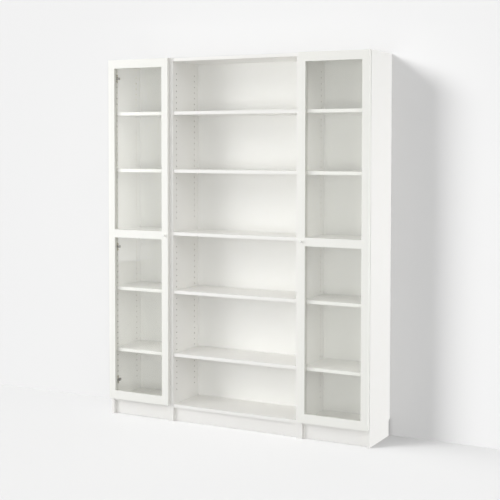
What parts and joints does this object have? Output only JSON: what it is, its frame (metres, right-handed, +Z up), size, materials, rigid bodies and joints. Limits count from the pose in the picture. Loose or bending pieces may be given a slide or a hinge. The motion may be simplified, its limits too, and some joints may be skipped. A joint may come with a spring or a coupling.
{
  "type": "bookcase with glass doors",
  "caption": "Tall white bookcase: an open centre unit between narrower units with framed glass doors on concealed hinges, adjustable shelves on pins and a recessed plinth.",
  "frame": {"origin": "centre of the bounding box's base, on the floor", "axes": "+X to the right as seen from the room, +Y from the room to the wall, +Z up"},
  "size_m": [1.6006, 0.321, 2.02],
  "materials": {
    "white_foil": "smooth white foil on board, satin",
    "white_back_board": "painted hardboard, matt white",
    "door_lacquer": "white lacquer, satin",
    "tempered_glass": "clear tempered glass with a faint green cast",
    "white_bead": "white plastic glazing bead",
    "nickelled_steel": "nickel-plated pressed steel",
    "white_enamel": "white powder coat, semi-gloss",
    "zinc_plate": "bright zinc plate"
  },
  "bodies": {
    "cases": {"left_case_side_left": "white_foil", "left_case_side_right": "white_foil", "left_case_top": "white_foil", "left_case_fixed_shelf": "white_foil", "left_case_bottom": "white_foil", "left_case_plinth": "white_foil", "left_case_back": "white_back_board", "left_case_shelf_1": "white_foil", "left_case_shelf_2": "white_foil", "left_case_shelf_3": "white_foil", "left_case_shelf_4": "white_foil", "left_case_wall_bracket": "zinc_plate", "left_case_hinge_arm_1": "nickelled_steel", "left_case_hinge_arm_2": "nickelled_steel", "left_case_hinge_arm_3": "nickelled_steel", "middle_case_side_left": "white_foil", "middle_case_side_right": "white_foil", "middle_case_top": "white_foil", "middle_case_fixed_shelf": "white_foil", "middle_case_bottom": "white_foil", "middle_case_plinth": "white_foil", "middle_case_back": "white_back_board", "middle_case_shelf_1": "white_foil", "middle_case_shelf_2": "white_foil", "middle_case_shelf_3": "white_foil", "middle_case_shelf_4": "white_foil", "middle_case_wall_bracket": "zinc_plate", "right_case_side_left": "white_foil", "right_case_side_right": "white_foil", "right_case_top": "white_foil", "right_case_fixed_shelf": "white_foil", "right_case_bottom": "white_foil", "right_case_plinth": "white_foil", "right_case_back": "white_back_board", "right_case_shelf_1": "white_foil", "right_case_shelf_2": "white_foil", "right_case_shelf_3": "white_foil", "right_case_shelf_4": "white_foil", "right_case_wall_bracket": "zinc_plate", "right_case_hinge_arm_1": "nickelled_steel", "right_case_hinge_arm_2": "nickelled_steel", "right_case_hinge_arm_3": "nickelled_steel"},
    "left_door": {"left_door_frame": "door_lacquer", "left_door_glass_lower": "tempered_glass", "left_door_glass_upper": "tempered_glass", "left_door_bead_lower": "white_bead", "left_door_bead_upper": "white_bead", "left_door_knob": "white_enamel", "left_door_hinge_cup_1": "nickelled_steel", "left_door_hinge_cup_2": "nickelled_steel", "left_door_hinge_cup_3": "nickelled_steel"},
    "right_door": {"right_door_frame": "door_lacquer", "right_door_glass_lower": "tempered_glass", "right_door_glass_upper": "tempered_glass", "right_door_bead_lower": "white_bead", "right_door_bead_upper": "white_bead", "right_door_knob": "white_enamel", "right_door_hinge_cup_1": "nickelled_steel", "right_door_hinge_cup_2": "nickelled_steel", "right_door_hinge_cup_3": "nickelled_steel"}
  },
  "joints": [
    {"name": "left_door_hinge", "type": "hinge", "parent": "cases", "child": "left_door", "pos_m": [-0.7923, -0.1395, 1], "axis": [0, 0, -1], "range_deg": [0, 110]},
    {"name": "right_door_hinge", "type": "hinge", "parent": "cases", "child": "right_door", "pos_m": [0.7923, -0.1395, 1], "axis": [0, 0, 1], "range_deg": [0, 110]}
  ]
}
